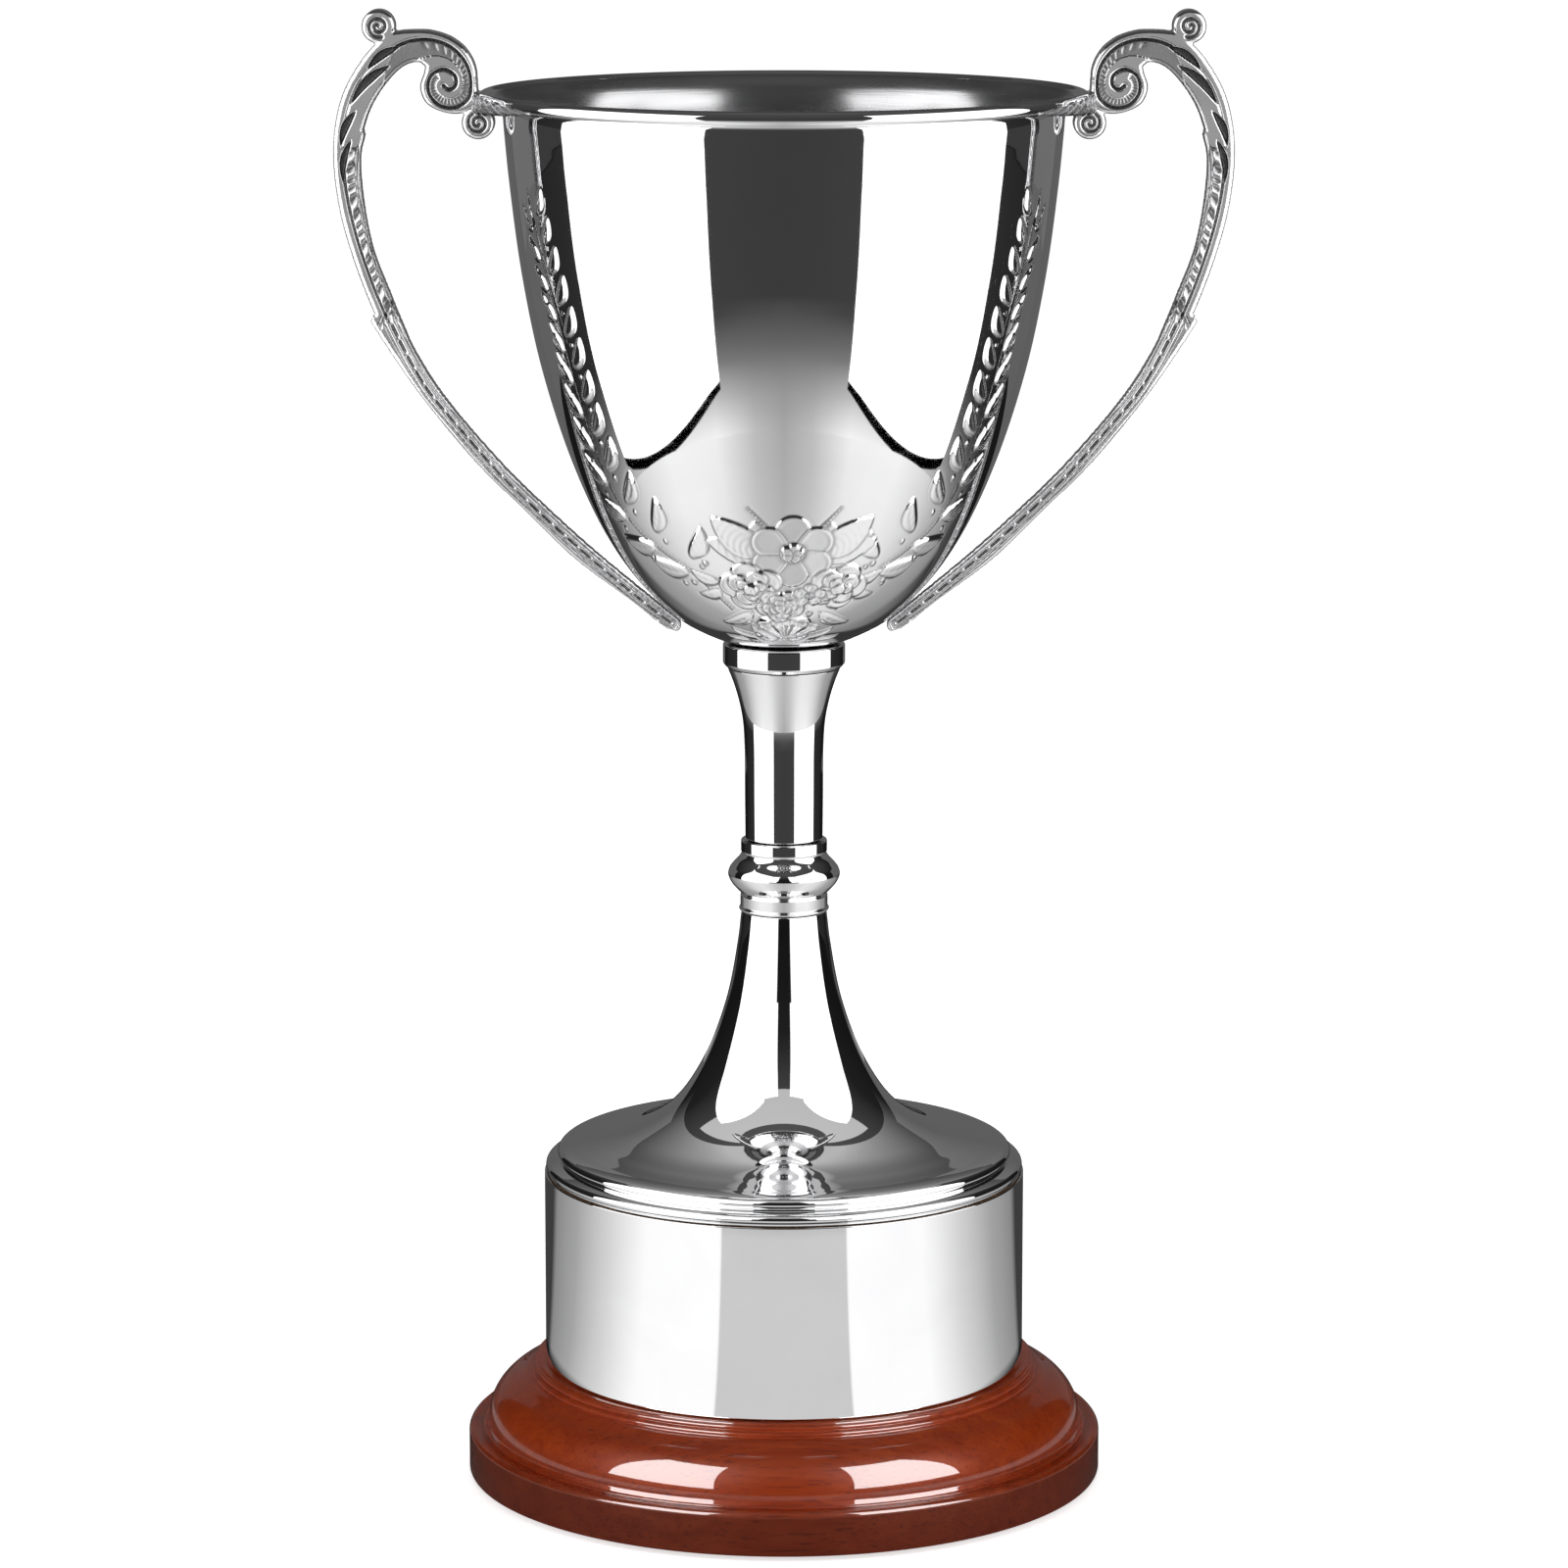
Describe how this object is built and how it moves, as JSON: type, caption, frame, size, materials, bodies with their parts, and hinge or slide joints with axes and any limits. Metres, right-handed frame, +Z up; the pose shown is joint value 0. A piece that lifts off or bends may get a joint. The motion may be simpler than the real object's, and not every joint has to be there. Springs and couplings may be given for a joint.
{
  "type": "cup trophy",
  "caption": "Two-handled presentation cup with a chased floral bowl, knopped stem and trumpet foot on a banded turned wooden plinth.",
  "frame": {"origin": "centre of the underside of the baize pad, on the table", "axes": "+Z up the trophy's axis, X through the two handles, -Y towards the front of the band; the band's seam is at +Y"},
  "size_m": [0.2518, 0.1826, 0.42],
  "materials": {
    "nickel_plate": "spun metal, nickel plated and mirror polished",
    "satin_nickel": "nickel plated, satin spun finish inside the bowl",
    "cast_nickel": "cast handles, bright plated, with fine grain in the recesses",
    "mahogany": "red mahogany stain under clear gloss lacquer",
    "raw_timber": "plain turned timber, unlacquered",
    "green_baize": "wool baize",
    "zinc_steel": "zinc plated"
  },
  "bodies": {
    "root": {"baize_pad": "green_baize", "plinth_base": "mahogany", "plinth_drum": "raw_timber", "plinth_band": "nickel_plate", "band_pin_1": "nickel_plate", "band_pin_2": "nickel_plate", "band_pin_3": "nickel_plate", "band_pin_4": "nickel_plate", "drum_screw_1": "zinc_steel", "drum_screw_2": "zinc_steel", "drum_screw_3": "zinc_steel", "tie_rod": "zinc_steel", "lower_washer": "zinc_steel", "lower_nut": "zinc_steel", "foot": "nickel_plate", "knop": "nickel_plate", "upper_stem": "nickel_plate", "stem_collar": "nickel_plate", "bowl": "nickel_plate", "rim_bead": "nickel_plate", "bowl_washer": "satin_nickel", "cap_nut": "satin_nickel", "handle_right": "cast_nickel", "handle_left": "cast_nickel"}
  },
  "joints": []
}
